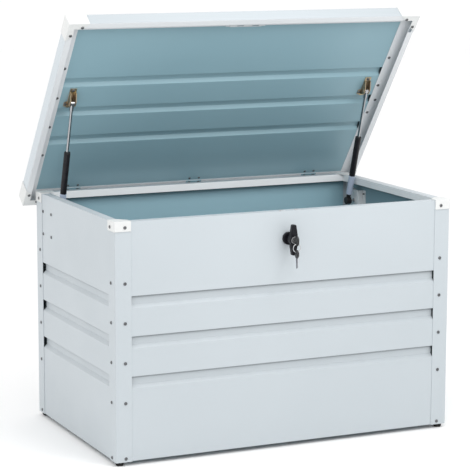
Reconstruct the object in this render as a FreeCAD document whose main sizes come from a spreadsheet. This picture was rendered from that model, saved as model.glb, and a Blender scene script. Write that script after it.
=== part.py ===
import FreeCAD, Part
import math
import os
import Sketcher
from types import SimpleNamespace

# Deck storage box: grooved sheet-metal walls between corner posts, a framed lid on three
# hinges at the back, two gas struts and a T-handle lock with a sliding latch.
# Millimetres, +Z up, floor at z = 0, front of the box towards -Y.
# Lid pieces are drawn with the lid closed and then turned open about the hinge line.

os.makedirs("parts", exist_ok=True)

vec = FreeCAD.Vector

SIZE_TABLE = {
    # box body
    "body_width": 996, "body_depth": 606, "rim_top": 649, "base_level": 12,
    "sheet_gauge": 1, "post_gauge": 1.2, "post_flange": 46, "panel_setback": 12.5,
    "rim_flange": 25, "rim_lip": 20, "base_flange": 20,
    "groove_top": 453, "groove_pitch": 107, "groove_height": 32,
    "groove_depth": 9, "groove_ramp": 9,
    "rim_cap_leg": 47, "rim_cap_cut": 25, "rim_cap_drop": 25, "cap_gauge": 2,
    "foot_radius": 12.5, "foot_tip_radius": 10, "foot_height": 10.8, "foot_inset": 16,
    "tray_gap": 0.3, "tray_lip": 15, "tray_bead": 3,
    # screws
    "screw_inset": 28, "screw_radius": 2.4, "screw_head_radius": 4.5, "screw_head": 2.4,
    "screw_hole": 2.6, "screw_length": 8, "cap_screw_level": 634.5, "low_head": 1.2,
    # lid
    "lid_width": 1056, "lid_depth": 668, "lid_bottom": 632, "lid_thickness": 37,
    "lid_panel_level": 654, "lid_panel_margin": 2, "rail_gauge": 1.2,
    "rail_lower_flange": 17, "rail_flange": 38,
    "lid_cap_leg": 59, "lid_cap_top": 40, "lid_cap_bottom": 19,
    "lid_screw_column": 499, "lid_screw_pitch": 107,
    "strike_half": 60, "strike_level": 649.5, "strike_gauge": 1,
    # hinges
    "hinge_line_back": 310, "hinge_line_level": 622, "open_angle": 53.2,
    "hinge_spacing": 380, "hinge_half": 24, "knuckle_radius": 6, "knuckle_half": 9.7,
    "hinge_pin_radius": 3, "running_gap": 0.05, "moving_gap": 0.3, "leaf_gauge": 2,
    # gas struts
    "strut_plane": 457, "ball_back": 216, "ball_level": 578, "ball_radius": 5,
    "pivot_back": -44, "pivot_level": 640.4, "tube_radius": 9, "tube_bore": 8,
    "tube_start": 21, "tube_end": 204.5, "rod_radius": 4, "piston_radius": 7.94,
    "socket_radius": 11, "socket_half": 8, "eye_radius": 7, "cheek_half": 9,
    "cheek_gauge": 2, "wall_bracket_rise": 17.8, "wall_bracket_gauge": 1.5,
    # lock
    "lock_level": 575, "rosette_radius": 17.5, "rosette_height": 8, "barrel_radius": 11,
    "barrel_reach": 6.8, "nut_radius": 17.3, "nut_height": 5,
    "grip_length": 83, "grip_front": 341, "grip_back": 327, "hub_radius": 13,
    "neck_radius": 8, "shaft_radius": 4.5, "plug_radius": 6, "crank_offset": 6,
    "latch_back": 288, "latch_gauge": 1.5, "hook_spacing": 23, "latch_travel": 12,
    "hook_line": 299,
    "key_line": 355, "key_reach": 364.4, "ring_radius": 11, "ring_wire": 1,
}

SCREW_LEVELS = [20, 169, 276, 382, 487]
CORNERS = {
    "front_left": (-1, -1),
    "front_right": (1, -1),
    "rear_left": (-1, 1),
    "rear_right": (1, 1),
}
SIDES = {"left": -1, "right": 1}
HINGES = {"left": -1, "centre": 0, "right": 1}
PLANE_SIGN = {"XY": 1, "XZ": -1, "YZ": 1}
HALF_TURN = 180
FULL_TURN = 360
OVERSHOOT = 1
MITRE_GAP = 0.1

doc = FreeCAD.newDocument("deck_storage_box")
nodes = []


class Dim:
    """A length together with the sheet formula that drives it."""

    def __init__(self, value, text):
        self.value = float(value)
        self.text = text

    def __add__(self, other):
        other = as_dim(other)
        return Dim(self.value + other.value, "(%s + %s)" % (self.text, other.text))

    def __sub__(self, other):
        other = as_dim(other)
        return Dim(self.value - other.value, "(%s - %s)" % (self.text, other.text))

    def __mul__(self, other):
        other = as_dim(other)
        return Dim(self.value * other.value, "%s * %s" % (self.text, other.text))

    def __truediv__(self, other):
        other = as_dim(other)
        return Dim(self.value / other.value, "%s / %s" % (self.text, other.text))

    def __neg__(self):
        return self * -1

    def __radd__(self, other):
        return as_dim(other) + self

    def __rsub__(self, other):
        return as_dim(other) - self

    def __rmul__(self, other):
        return as_dim(other) * self


def as_dim(item):
    """Wrap a plain number so that it mixes with sheet lengths."""
    return item if isinstance(item, Dim) else Dim(item, "(%r)" % item)


def make_sheet():
    """Write the driving sizes into the spreadsheet and return them as lengths."""
    sheet = doc.addObject("Spreadsheet::Sheet", "Sizes")
    for row, (alias, value) in enumerate(SIZE_TABLE.items(), 1):
        sheet.set("A%d" % row, alias)
        sheet.set("B%d" % row, str(value))
        sheet.setAlias("B%d" % row, alias)
    doc.recompute()
    read = {alias: Dim(sheet.get(alias), "Sizes." + alias) for alias in SIZE_TABLE}
    return SimpleNamespace(**read)


size = make_sheet()


def bind(item, prop, length):
    """Drive one property from the sheet when the length refers to it."""
    if "Sizes." in length.text:
        item.setExpression(prop, length.text)


def new_body(label):
    """Start one sub-part."""
    body = doc.addObject("PartDesign::Body", label)
    body.Label = label
    nodes.append(body)
    return body


def new_sketch(body, name, plane, level):
    """Put a sketch on one of the body's own planes, moved to a level along that axis."""
    sketch = body.newObject("Sketcher::SketchObject", name)
    role = plane + "_Plane"
    support = next(item for item in body.Origin.OriginFeatures if item.Role == role)
    sketch.AttachmentSupport = [(support, "")]
    sketch.MapMode = "FlatFace"
    offset = as_dim(level) * PLANE_SIGN[plane]
    sketch.AttachmentOffset = FreeCAD.Placement(vec(0, 0, offset.value), FreeCAD.Rotation())
    bind(sketch, "AttachmentOffset.Base.z", offset)
    return sketch


def add_polygon(sketch, points):
    """Add a closed outline whose corners are all held by sheet formulas."""
    points = [(as_dim(across), as_dim(along)) for across, along in points]
    count = len(points)
    first = sketch.GeometryCount
    spots = [vec(across.value, along.value, 0) for across, along in points]
    lines = [Part.LineSegment(spots[i], spots[(i + 1) % count]) for i in range(count)]
    sketch.addGeometry(lines)
    rules = []
    for i in range(count):
        after = first + (i + 1) % count
        rules.append(Sketcher.Constraint("Coincident", first + i, 2, after, 1))
    for i, (across, along) in enumerate(points):
        rules.append(Sketcher.Constraint("DistanceX", -1, 1, first + i, 1, across.value))
        rules.append(Sketcher.Constraint("DistanceY", -1, 1, first + i, 1, along.value))
    start = sketch.ConstraintCount + count
    sketch.addConstraint(rules)
    for i, (across, along) in enumerate(points):
        bind(sketch, "Constraints[%d]" % (start + 2 * i), across)
        bind(sketch, "Constraints[%d]" % (start + 2 * i + 1), along)


def add_circle(sketch, centre, radius):
    """Add a circle whose centre and radius are held by sheet formulas."""
    across, along, radius = as_dim(centre[0]), as_dim(centre[1]), as_dim(radius)
    circle = sketch.GeometryCount
    spot = vec(across.value, along.value, 0)
    sketch.addGeometry(Part.Circle(spot, vec(0, 0, 1), radius.value))
    start = sketch.ConstraintCount
    sketch.addConstraint([
        Sketcher.Constraint("DistanceX", -1, 1, circle, 3, across.value),
        Sketcher.Constraint("DistanceY", -1, 1, circle, 3, along.value),
        Sketcher.Constraint("Radius", circle, radius.value),
    ])
    for step, length in enumerate((across, along, radius)):
        bind(sketch, "Constraints[%d]" % (start + step), length)


def extrude(body, name, plane, low, high, outlines=(), circles=(), cut=False):
    """Pad or pocket outlines between two levels along the normal of a plane."""
    low, high = as_dim(low), as_dim(high)
    from_low = (PLANE_SIGN[plane] > 0) != cut
    sketch = new_sketch(body, name + "_sketch", plane, low if from_low else high)
    for outline in outlines:
        add_polygon(sketch, outline)
    for centre, radius in circles:
        add_circle(sketch, centre, radius)
    kind = "PartDesign::Pocket" if cut else "PartDesign::Pad"
    feature = body.newObject(kind, name)
    feature.Profile = sketch
    depth = high - low
    feature.Length = depth.value
    bind(feature, "Length", depth)
    sketch.Visibility = False
    return feature


def drill(body, name, plane, low, high, centres, radius):
    """Pocket a set of equal round holes."""
    circles = [(centre, radius) for centre in centres]
    return extrude(body, name, plane, low, high, circles=circles, cut=True)


def revolve(body, name, plane, points, axis="V_Axis"):
    """Turn a closed outline once round an axis of its sketch."""
    sketch = new_sketch(body, name + "_sketch", plane, 0)
    add_polygon(sketch, points)
    feature = body.newObject("PartDesign::Revolution", name)
    feature.Profile = sketch
    feature.ReferenceAxis = (sketch, [axis])
    feature.Angle = FULL_TURN
    sketch.Visibility = False
    return feature


def round_edges(body, name, radius, chosen):
    """Fillet the edges of the current solid that the chosen test accepts."""
    doc.recompute()
    base = body.Tip
    picked = []
    for number, edge in enumerate(base.Shape.Edges, 1):
        if chosen(edge):
            picked.append("Edge%d" % number)
    fillet = body.newObject("PartDesign::Fillet", name)
    fillet.Base = (base, picked)
    fillet.Radius = radius
    return fillet


def rectangle(left, right, low, high):
    """Corner points of an upright rectangle."""
    return [(left, low), (right, low), (right, high), (left, high)]


def plan_corner(sides, width, depth, points):
    """Place points given as insets from the two outer faces of one corner."""
    return [((width / 2 - a) * sides[0], (depth / 2 - b) * sides[1]) for a, b in points]


def near(value, target, slack=0.01):
    """True when two lengths agree."""
    return abs(value - target) < slack


def upright_at(across, along):
    """Edge test: a vertical edge standing at one plan position."""
    def test(edge):
        ends = [corner.Point for corner in edge.Vertexes]
        here = [near(p.x, across) and near(p.y, along) for p in ends]
        return len(ends) == 2 and all(here)
    return test


# ---------------------------------------------------------------- box body

def wall_section(face, side):
    """Closed section of a grooved wall, as (position across the wall, height) points."""
    gauge = size.sheet_gauge
    slant = gauge * round(math.sqrt(2) - 1, 4)
    outer = [
        (size.rim_flange, size.rim_top - size.rim_lip),
        (size.rim_flange, size.rim_top),
        (0, size.rim_top),
    ]
    inner = [
        (size.rim_flange - gauge, size.rim_top - size.rim_lip),
        (size.rim_flange - gauge, size.rim_top - gauge),
        (gauge, size.rim_top - gauge),
    ]
    for step in range(3):
        top = size.groove_top - size.groove_pitch * step
        foot = top - size.groove_height
        outer += [
            (0, top),
            (size.groove_depth, top),
            (size.groove_depth, foot + size.groove_ramp),
            (0, foot),
        ]
        inner += [
            (gauge, top + gauge),
            (size.groove_depth + gauge, top + gauge),
            (size.groove_depth + gauge, foot + size.groove_ramp - slant),
            (gauge, foot - slant),
        ]
    outer += [(0, size.base_level), (size.base_flange, size.base_level)]
    inner += [(gauge, size.base_level + gauge), (size.base_flange, size.base_level + gauge)]
    section = outer + inner[::-1]
    return [((face - depth) * side, level) for depth, level in section]


def mitre_triangles(face, length, along_first, side):
    """Plan triangles that trim the flanges of a wall at 45 degrees at both ends."""
    reach = size.rim_flange + OVERSHOOT
    line = face + length - MITRE_GAP
    triangles = []
    for end in (-1, 1):
        tip = line - face
        corners = [(tip - reach, reach), (tip, 0), (tip, reach)]
        points = [(along * end, (face - depth) * side) for along, depth in corners]
        triangles.append(points if along_first else [(b, a) for a, b in points])
    return triangles


face_x = size.body_width / 2 - size.post_gauge
face_y = size.body_depth / 2 - size.post_gauge
screw_x = size.body_width / 2 - size.screw_inset
screw_y = size.body_depth / 2 - size.screw_inset


def screw_marks(position):
    """Centres of the post and cap screws on one wall, as (along, height) points."""
    levels = SCREW_LEVELS + [size.cap_screw_level]
    return [(position * end, level) for end in (-1, 1) for level in levels]


def make_long_wall(label, side):
    """Front or back wall, running along X."""
    body = new_body(label)
    half = size.body_width / 2 - size.panel_setback
    extrude(body, label + "_sheet", "YZ", -half, half, [wall_section(face_y, side)])
    trims = mitre_triangles(face_y, face_x, True, side)
    extrude(body, label + "_mitre", "XY", 0, 700, trims, cut=True)
    low, high = sorted_levels(face_y * side, 3)
    drill(body, label + "_screw_holes", "XZ", low, high, screw_marks(screw_x), size.screw_hole)
    return body


def make_side_wall(label, side):
    """Left or right wall, running along Y."""
    body = new_body(label)
    half = size.body_depth / 2 - size.panel_setback
    extrude(body, label + "_sheet", "XZ", -half, half, [wall_section(face_x, side)])
    trims = mitre_triangles(face_x, face_y, False, side)
    extrude(body, label + "_mitre", "XY", 0, 700, trims, cut=True)
    low, high = sorted_levels(face_x * side, 3)
    drill(body, label + "_screw_holes", "YZ", low, high, screw_marks(screw_y), size.screw_hole)
    drill(body, label + "_bracket_holes", "YZ", low, high, bracket_marks(), size.screw_hole)
    return body


def sorted_levels(level, reach):
    """The two levels a short reach below and above a face."""
    return level - reach, level + reach


def bracket_marks():
    """Centres of the four screws of a lower strut bracket, as (y, z) points."""
    return [(y, z) for y in (183, 249) for z in (536, 600)]


def hinge_marks(centre):
    """Centres of the four screws of a fixed hinge leaf, as (x, z) points."""
    return [(centre + x, z) for x in (-15, 15) for z in (586, 604)]


def hinge_centres():
    """Middle of each hinge along the hinge line."""
    return [size.hinge_spacing * place for place in HINGES.values()]


def make_front_wall():
    """Front wall with the lock hole and the two slots for the latch hooks."""
    body = make_long_wall("front_panel", -1)
    low, high = sorted_levels(-face_y, 3)
    lock_centre = [(0, size.lock_level)]
    drill(body, "lock_hole", "XZ", low, high, lock_centre, size.barrel_radius + 0.2)
    line = size.hook_line
    slots = [hook_slot(end, line + 1.7, line - 2.1) for end in (-1, 1)]
    level = size.rim_top
    extrude(body, "hook_slots", "XY", level - 2, level + OVERSHOOT, slots, cut=True)


def hook_slot(end, front, back):
    """Plan rectangle of the slot one latch hook passes through."""
    middle = size.hook_spacing * end
    return rectangle(middle - 4, middle + size.latch_travel + 4, -front, -back)


def make_back_wall():
    """Back wall; the hinges sit on its outer face without going through it."""
    make_long_wall("back_panel", 1)


def make_tray():
    """Floor tray with upturned edges and three pressed beads."""
    body = new_body("floor_tray")
    half_x = face_x - size.sheet_gauge - size.tray_gap
    half_y = face_y - size.sheet_gauge - size.tray_gap
    low = size.base_level + size.sheet_gauge
    deck = low + size.sheet_gauge
    top = low + size.tray_lip
    wall = size.sheet_gauge
    extrude(body, "tray_block", "XY", low, top, [rectangle(-half_x, half_x, -half_y, half_y)])
    room = rectangle(wall - half_x, half_x - wall, wall - half_y, half_y - wall)
    extrude(body, "tray_room", "XY", deck, top, [room], cut=True)
    beads = [rectangle(-440, 440, y - 15, y + 15) for y in (-150, 0, 150)]
    extrude(body, "tray_beads", "XY", deck - 0.5, deck + size.tray_bead, beads)
    hollows = [rectangle(-439, 439, y - 14, y + 14) for y in (-150, 0, 150)]
    extrude(body, "tray_hollows", "XY", low, low + size.tray_bead, hollows, cut=True)
    ends = [(screw_x * end, SCREW_LEVELS[0]) for end in (-1, 1)]
    drill(body, "tray_long_holes", "XZ", -face_y, face_y, ends, size.screw_hole)
    ends = [(screw_y * end, SCREW_LEVELS[0]) for end in (-1, 1)]
    drill(body, "tray_side_holes", "YZ", -face_x, face_x, ends, size.screw_hole)


def make_post(name, sides):
    """Corner post: a folded angle with a gusset plate that carries the foot."""
    body = new_body("post_" + name)
    width, depth = size.body_width, size.body_depth
    leg, gauge = size.post_flange, size.post_gauge
    angle = [(0, 0), (leg, 0), (leg, gauge), (gauge, gauge), (gauge, leg), (0, leg)]
    outline = plan_corner(sides, width, depth, angle)
    base = size.base_level
    extrude(body, "angle", "XY", base - gauge, size.rim_top, [outline])
    gusset = plan_corner(sides, width, depth, [(0, 0), (leg, 0), (leg, leg), (0, leg)])
    extrude(body, "gusset", "XY", base - gauge, base, [gusset])
    marks_x = [(screw_x * sides[0], level) for level in SCREW_LEVELS + [size.cap_screw_level]]
    low, high = sorted_levels(depth / 2 * sides[1], 2)
    drill(body, "long_holes", "XZ", low, high, marks_x, size.screw_hole)
    marks_y = [(screw_y * sides[1], level) for level in SCREW_LEVELS + [size.cap_screw_level]]
    low, high = sorted_levels(width / 2 * sides[0], 2)
    drill(body, "side_holes", "YZ", low, high, marks_y, size.screw_hole)
    corner = upright_at(width.value / 2 * sides[0], depth.value / 2 * sides[1])
    round_edges(body, "fold", 2, corner)


def make_rim_cap(name, sides):
    """Corner cap of the rim: a plate with two skirts over the post."""
    body = new_body("rim_cap_" + name)
    gauge, leg, cut = size.cap_gauge, size.rim_cap_leg, size.rim_cap_cut
    width = size.body_width + gauge * 2
    depth = size.body_depth + gauge * 2
    top = size.rim_top + gauge
    plate = [(0, 0), (leg, 0), (leg, cut), (cut, leg), (0, leg)]
    extrude(body, "plate", "XY", size.rim_top, top, [plan_corner(sides, width, depth, plate)])
    angle = [(0, 0), (leg, 0), (leg, gauge), (gauge, gauge), (gauge, leg), (0, leg)]
    outline = plan_corner(sides, width, depth, angle)
    extrude(body, "skirt", "XY", size.rim_top - size.rim_cap_drop, top, [outline])
    low, high = sorted_levels(depth / 2 * sides[1], 3)
    mark = [(screw_x * sides[0], size.cap_screw_level)]
    drill(body, "long_hole", "XZ", low, high, mark, size.screw_hole)
    low, high = sorted_levels(width / 2 * sides[0], 3)
    mark = [(screw_y * sides[1], size.cap_screw_level)]
    drill(body, "side_hole", "YZ", low, high, mark, size.screw_hole)
    corner = upright_at(width.value / 2 * sides[0], depth.value / 2 * sides[1])
    round_edges(body, "corner", 3, corner)
    round_edges(body, "rim", 1, top_outline(width, depth, top))


def top_outline(width, depth, level):
    """Edge test: the outer edges of a corner cap at one level."""
    half_x, half_y = width.value / 2, depth.value / 2

    def test(edge):
        box = edge.BoundBox
        flat = near(box.ZMin, level.value) and near(box.ZMax, level.value)
        far_x = max(abs(box.XMin), abs(box.XMax)) > half_x - 0.01
        far_y = max(abs(box.YMin), abs(box.YMax)) > half_y - 0.01
        short_x = box.XLength < 0.01 or box.YLength < 0.01
        on_x = far_x and box.XLength < 0.01
        on_y = far_y and box.YLength < 0.01
        return flat and (on_x or on_y or (far_x and far_y and not short_x))
    return test


def make_foot(name, sides):
    """Tapered rubber foot under a gusset plate."""
    body = new_body("foot_" + name)
    tip, top, height = size.foot_tip_radius, size.foot_radius, size.foot_height
    outline = [(0, 0), (tip - 1, 0), (tip, 1), (top, height), (0, height)]
    revolve(body, "cone", "XZ", outline)
    across = (size.body_width / 2 - size.foot_inset) * sides[0]
    along = (size.body_depth / 2 - size.foot_inset) * sides[1]
    body.Placement.Base = vec(across.value, along.value, 0)


# ---------------------------------------------------------------- fasteners

def turned(points):
    """Solid turned about the Z axis from (radius, height) points."""
    spots = [vec(radius, 0, level) for radius, level in points]
    face = Part.Face(Part.makePolygon(spots + spots[:1]))
    return face.revolve(vec(0, 0, 0), vec(0, 0, 1), FULL_TURN)


def screw(head):
    """Pan-head screw with a cross recess; the head stands above z = 0."""
    radius = size.screw_radius.value
    rim = size.screw_head_radius.value
    reach = size.screw_length.value
    solid = turned([
        (0, -reach), (radius * 0.5, -reach), (radius, -reach + 2), (radius, 0), (rim, 0),
        (rim, head * 0.35), (rim * 0.8, head * 0.85), (rim * 0.45, head), (0, head),
    ])
    depth = head * 0.6
    for turn in (0, 90):
        slot = Part.makeBox(4.4, 0.9, depth, vec(-2.2, -0.45, head - depth))
        slot.rotate(vec(0, 0, 0), vec(0, 0, 1), turn)
        solid = solid.cut(slot)
    return solid


def placed(shape, spot, outward):
    """Copy of a fastener seated at a spot with its head pointing outward."""
    copy = shape.copy()
    base = vec(*[as_dim(value).value for value in spot])
    turn = FreeCAD.Rotation(vec(0, 0, 1), vec(*outward))
    copy.Placement = FreeCAD.Placement(base, turn)
    return copy


def make_group(label, solids, placement=None):
    """One node holding several separate fasteners."""
    group = doc.addObject("Part::Feature", label)
    group.Label = label
    group.Shape = Part.makeCompound(solids)
    if placement is not None:
        group.Placement = placement
    nodes.append(group)


def make_frame_screws():
    """Screws through the posts and the rim caps into the walls."""
    shape = screw(size.screw_head.value)
    solids = []
    half_x, half_y = size.body_width / 2, size.body_depth / 2
    cap_level = size.cap_screw_level
    for side_x, side_y in CORNERS.values():
        for level in SCREW_LEVELS + [cap_level]:
            proud = size.cap_gauge if level is cap_level else 0
            spot = (screw_x * side_x, (half_y + proud) * side_y, level)
            solids.append(placed(shape, spot, (0, side_y, 0)))
            spot = ((half_x + proud) * side_x, screw_y * side_y, level)
            solids.append(placed(shape, spot, (side_x, 0, 0)))
    make_group("frame_screws", solids)


def make_wall_screws():
    """Weld rivets of the fixed hinge leaves and screws of the lower strut brackets."""
    shape = screw(size.screw_head.value)
    leaf_face = face_y + size.leaf_gauge
    gauge = size.leaf_gauge.value
    rivet = turned([(0, -gauge), (2.4, -gauge), (2.4, 0), (4.5, 0), (3.6, 1.4), (1.6, 2), (0, 2)])
    solids = []
    for centre in hinge_centres():
        for x, z in hinge_marks(centre):
            solids.append(placed(rivet, (x, leaf_face, z), (0, 1, 0)))
    for side in SIDES.values():
        for y, z in bracket_marks():
            solids.append(placed(shape, (face_x * side, y, z), (side, 0, 0)))
    make_group("wall_screws", solids)


# ---------------------------------------------------------------- lid

def lid_opened():
    """Placement that turns the closed lid open about the hinge line."""
    line = vec(0, size.hinge_line_back.value, size.hinge_line_level.value)
    turn = FreeCAD.Rotation(vec(1, 0, 0), -size.open_angle.value)
    return FreeCAD.Placement(vec(0, 0, 0), turn, line)


def lid_body(label):
    """Start one sub-part of the lid, already turned open."""
    body = new_body(label)
    body.Placement = lid_opened()
    return body


def lid_panel_marks():
    """Centres of every screw that reaches the lid panel, as (x, y) points."""
    marks = []
    for side in SIDES.values():
        marks += rail_marks(side) + bracket_screws(side)
    for centre in hinge_centres():
        marks += moving_leaf_marks(centre) + panel_rivet_marks(centre)
    return marks


def rail_marks(side):
    """Centres of the screws through the middle flange of a side rail."""
    column = size.lid_screw_column * side
    pitch = size.lid_screw_pitch
    marks = [(column, pitch * step) for step in (-1.5, -0.5, 0.5, 1.5)]
    return marks + [(507 * side, -306), (507 * side, 306)]


def bracket_screws(side):
    """Centres of the three screws of an upper strut bracket."""
    plane = size.strut_plane
    return [((plane - 13.8) * side, -30), ((plane + 13.8) * side, -30), (plane * side, -80)]


def moving_leaf_marks(centre):
    """Centres of the two screws of a moving hinge leaf."""
    return [(centre - 15, 303), (centre + 15, 303)]


def panel_rivet_marks(centre):
    """Centres of the two rivets in the panel in front of a moving hinge leaf."""
    return [(centre - 15, 289), (centre + 15, 289)]


def make_lid_panel():
    """Lid sheet with three ribs pressed upward, sharp on the front side."""
    body = lid_body("lid_panel")
    gauge = size.sheet_gauge
    low = size.lid_panel_level
    rise = size.groove_depth
    half = size.groove_height / 2
    ramp = size.groove_ramp
    edge = size.lid_depth / 2 - size.lid_panel_margin
    slant = gauge * round(math.sqrt(2) - 1, 4)
    under = [(-edge, low)]
    over = [(-edge, low + gauge)]
    for step in (-1, 0, 1):
        middle = size.groove_pitch * step
        under += [
            (middle - half, low),
            (middle - half, low + rise),
            (middle + half - ramp, low + rise),
            (middle + half, low),
        ]
        over += [
            (middle - half - gauge, low + gauge),
            (middle - half - gauge, low + rise + gauge),
            (middle + half - ramp + slant, low + rise + gauge),
            (middle + half + slant, low + gauge),
        ]
    under.append((edge, low))
    over.append((edge, low + gauge))
    reach = size.lid_width / 2 - size.lid_panel_margin
    extrude(body, "ribbed_sheet", "YZ", -reach, reach, [under + over[::-1]])
    drill(body, "panel_holes", "XY", low - 1, low + 3, lid_panel_marks(), size.screw_hole)


def rail_section(half, side):
    """Section of a lid rail: web, lower flange, middle flange and top flange."""
    low = size.lid_bottom
    top = low + size.lid_thickness
    middle = size.lid_panel_level
    gauge, wide, lip = size.rail_gauge, size.rail_flange, size.rail_lower_flange
    section = [
        (0, low), (lip, low), (lip, low + gauge), (gauge, low + gauge),
        (gauge, middle - gauge), (wide, middle - gauge), (wide, middle), (gauge, middle),
        (gauge, top - gauge), (wide, top - gauge), (wide, top), (0, top),
    ]
    return [((half - depth) * side, level) for depth, level in section]


def rail_mitres(half, length, side, along_first):
    """Plan triangles that mitre a lid rail at both ends."""
    reach = size.rail_flange + OVERSHOOT
    triangles = []
    for end in (-1, 1):
        tip = length - MITRE_GAP
        corners = [(tip - reach, reach), (tip + OVERSHOOT, -OVERSHOOT), (tip + OVERSHOOT, reach)]
        points = [(along * end, (half - depth) * side) for along, depth in corners]
        triangles.append(points if along_first else [(b, a) for a, b in points])
    return triangles


def make_long_rail(name, side):
    """Front or rear rail of the lid."""
    body = lid_body("lid_rail_" + name)
    half, length = size.lid_depth / 2, size.lid_width / 2
    extrude(body, "section", "YZ", -length, length, [rail_section(half, side)])
    extrude(body, "mitre", "XY", 600, 700, rail_mitres(half, length, side, True), cut=True)
    marks = [(490 * end, 322 * side) for end in (-1, 1)]
    low = size.lid_bottom
    drill(body, "cap_holes", "XY", low - 1, low + 3, marks, size.screw_hole)
    if side > 0:
        leaf = [mark for centre in hinge_centres() for mark in moving_leaf_marks(centre)]
        level = size.lid_panel_level
        drill(body, "leaf_holes", "XY", level - 3, level + 2, leaf, size.screw_hole)


def make_side_rail(name, side):
    """Left or right rail of the lid."""
    body = lid_body("lid_rail_" + name)
    half, length = size.lid_width / 2, size.lid_depth / 2
    extrude(body, "section", "XZ", -length, length, [rail_section(half, side)])
    extrude(body, "mitre", "XY", 600, 700, rail_mitres(half, length, side, False), cut=True)
    low = size.lid_bottom
    marks = [(518 * side, 295 * end) for end in (-1, 1)]
    drill(body, "cap_holes", "XY", low - 1, low + 3, marks, size.screw_hole)
    level = size.lid_panel_level
    drill(body, "panel_holes", "XY", level - 3, level + 2, rail_marks(side), size.screw_hole)
    if side > 0:
        slot = [(514, -272), (520, -272), (522, -276), (522, -284), (520, -288),
                (514, -288), (512, -284), (512, -276)]
        extrude(body, "drain_slot", "XY", low - 1, low + 3, [slot], cut=True)
        drill(body, "rivet_hole", "XY", level - 3, level + 1, [(509.5, 5)], 1.7)


def make_lid_cap(name, sides):
    """Corner cap of the lid: skirt, top plate and bottom plate."""
    body = lid_body("lid_cap_" + name)
    gauge, leg = size.cap_gauge, size.lid_cap_leg
    width, depth = size.lid_width + gauge * 2, size.lid_depth + gauge * 2
    low = size.lid_bottom - gauge
    top = size.lid_bottom + size.lid_thickness + gauge
    angle = [(0, 0), (leg, 0), (leg, gauge), (gauge, gauge), (gauge, leg), (0, leg)]
    extrude(body, "skirt", "XY", low, top, [plan_corner(sides, width, depth, angle)])
    wide = size.lid_cap_top
    plate = [(0, 0), (leg, 0), (leg, wide), (wide, wide), (wide, leg), (0, leg)]
    outline = plan_corner(sides, width, depth, plate)
    extrude(body, "top_plate", "XY", top - gauge, top, [outline])
    wide = size.lid_cap_bottom
    bevel = leg - wide + gauge
    plate = [(0, 0), (leg, 0), (leg, gauge), (bevel, wide), (wide, wide), (wide, bevel),
             (gauge, leg), (0, leg)]
    outline = plan_corner(sides, width, depth, plate)
    extrude(body, "bottom_plate", "XY", low, low + gauge, [outline])
    marks = cap_marks(sides)
    drill(body, "cap_holes", "XY", low - 1, low + 3, marks, size.screw_hole)
    corner = upright_at(width.value / 2 * sides[0], depth.value / 2 * sides[1])
    round_edges(body, "corner", 3, corner)
    round_edges(body, "top_edge", 1, top_outline(width, depth, top))
    round_edges(body, "bottom_edge", 1, top_outline(width, depth, low))


def cap_marks(sides):
    """Centres of the two screws under a lid corner cap."""
    return [(490 * sides[0], 322 * sides[1]), (518 * sides[0], 295 * sides[1])]


def make_lid_cap_screws():
    """Screws that hold the lid corner caps from below."""
    shape = screw(size.screw_head.value)
    level = size.lid_bottom - size.cap_gauge
    solids = []
    for sides in CORNERS.values():
        for x, y in cap_marks(sides):
            solids.append(placed(shape, (x, y, level), (0, 0, -1)))
    make_group("lid_cap_screws", solids, lid_opened())


def make_lid_screws():
    """Screws of the lid panel, brackets and hinges, and one blind rivet."""
    shape = screw(size.screw_head.value)
    flat = screw(size.low_head.value)
    button = turned([
        (0, -2.6), (3.4, -2.6), (3.4, -1), (2.4, -1), (2.4, 0), (3.8, 0), (3, 1), (0, 1.5),
    ])
    down = (0, 0, -1)
    panel_level = size.lid_panel_level
    rail_level = size.lid_panel_level - size.rail_gauge
    bracket_level = size.lid_panel_level - size.cheek_gauge
    leaf_level = rail_level - size.leaf_gauge
    solids = []
    for side in SIDES.values():
        solids += [placed(shape, (x, y, rail_level), down) for x, y in rail_marks(side)]
        marks = bracket_screws(side)
        solids += [placed(shape, (x, y, bracket_level), down) for x, y in marks]
    for centre in hinge_centres():
        marks = moving_leaf_marks(centre)
        solids += [placed(flat, (x, y, leaf_level), down) for x, y in marks]
        marks = panel_rivet_marks(centre)
        solids += [placed(button, (x, y, panel_level), down) for x, y in marks]
    rivet = turned([(0, -1.2), (1.5, -1.2), (1.5, 0), (4.5, 0), (3.5, 1.2), (0, 1.6)])
    solids.append(placed(rivet, (509.5, 5, rail_level), down))
    make_group("lid_screws", solids, lid_opened())


def make_strike():
    """Strike plate welded under the front rail with a slot for each latch hook."""
    body = lid_body("latch_strike")
    low, gauge = size.strike_level, size.strike_gauge
    top = size.lid_panel_level - size.rail_gauge
    half, shelf = size.strike_half, size.strike_half - 12
    chain = [
        (-half, top - gauge), (-shelf, top - gauge), (-shelf, low), (shelf, low),
        (shelf, top - gauge), (half, top - gauge), (half, top), (shelf - gauge, top),
        (shelf - gauge, low + gauge), (gauge - shelf, low + gauge), (gauge - shelf, top),
        (-half, top),
    ]
    line = size.hook_line
    extrude(body, "hat", "XZ", -(line + 5), -(line - 4.4), [chain])
    slots = [hook_slot(end, line + 2.4, line - 2.4) for end in (-1, 1)]
    extrude(body, "hook_slots", "XY", low - 1, low + 2, slots, cut=True)


# ---------------------------------------------------------------- hinges

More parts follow.
